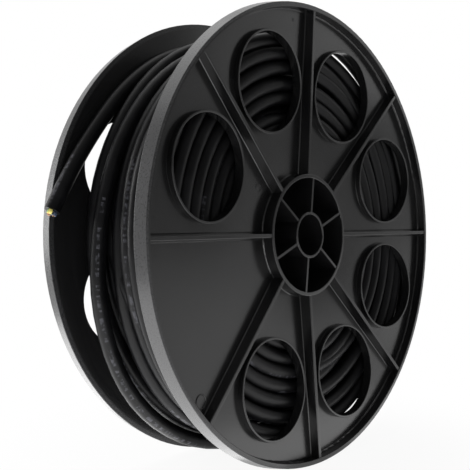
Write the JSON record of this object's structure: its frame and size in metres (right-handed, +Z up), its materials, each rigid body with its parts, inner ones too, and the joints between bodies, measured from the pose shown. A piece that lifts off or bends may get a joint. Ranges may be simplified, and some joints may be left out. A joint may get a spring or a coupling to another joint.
{
  "type": "reel of power cable",
  "caption": "Moulded plastic cable reel standing on its rims, with ribbed flanges, hand holes and a webbed hub, wound with black rubber-sheathed power cable whose cut end lies at the rear rim.",
  "frame": {"origin": "middle of the spindle bore, halfway between the flanges", "axes": "+Y along the bore from the front flange to the rear flange, +Z up, +X to the right seen from the front"},
  "size_m": [0.3055, 0.0906, 0.2998],
  "materials": {
    "reel_plastic": "satin moulded",
    "cable_sheath": "dull extruded",
    "core_brown": "satin",
    "core_blue": "satin",
    "core_earth": "satin"
  },
  "bodies": {
    "root": {"front_reel_half": "reel_plastic", "rear_reel_half": "reel_plastic", "cable_winding": "cable_sheath", "cable_tail": "cable_sheath", "cable_core_brown": "core_brown", "cable_core_blue": "core_blue", "cable_core_earth": "core_earth"}
  },
  "joints": []
}
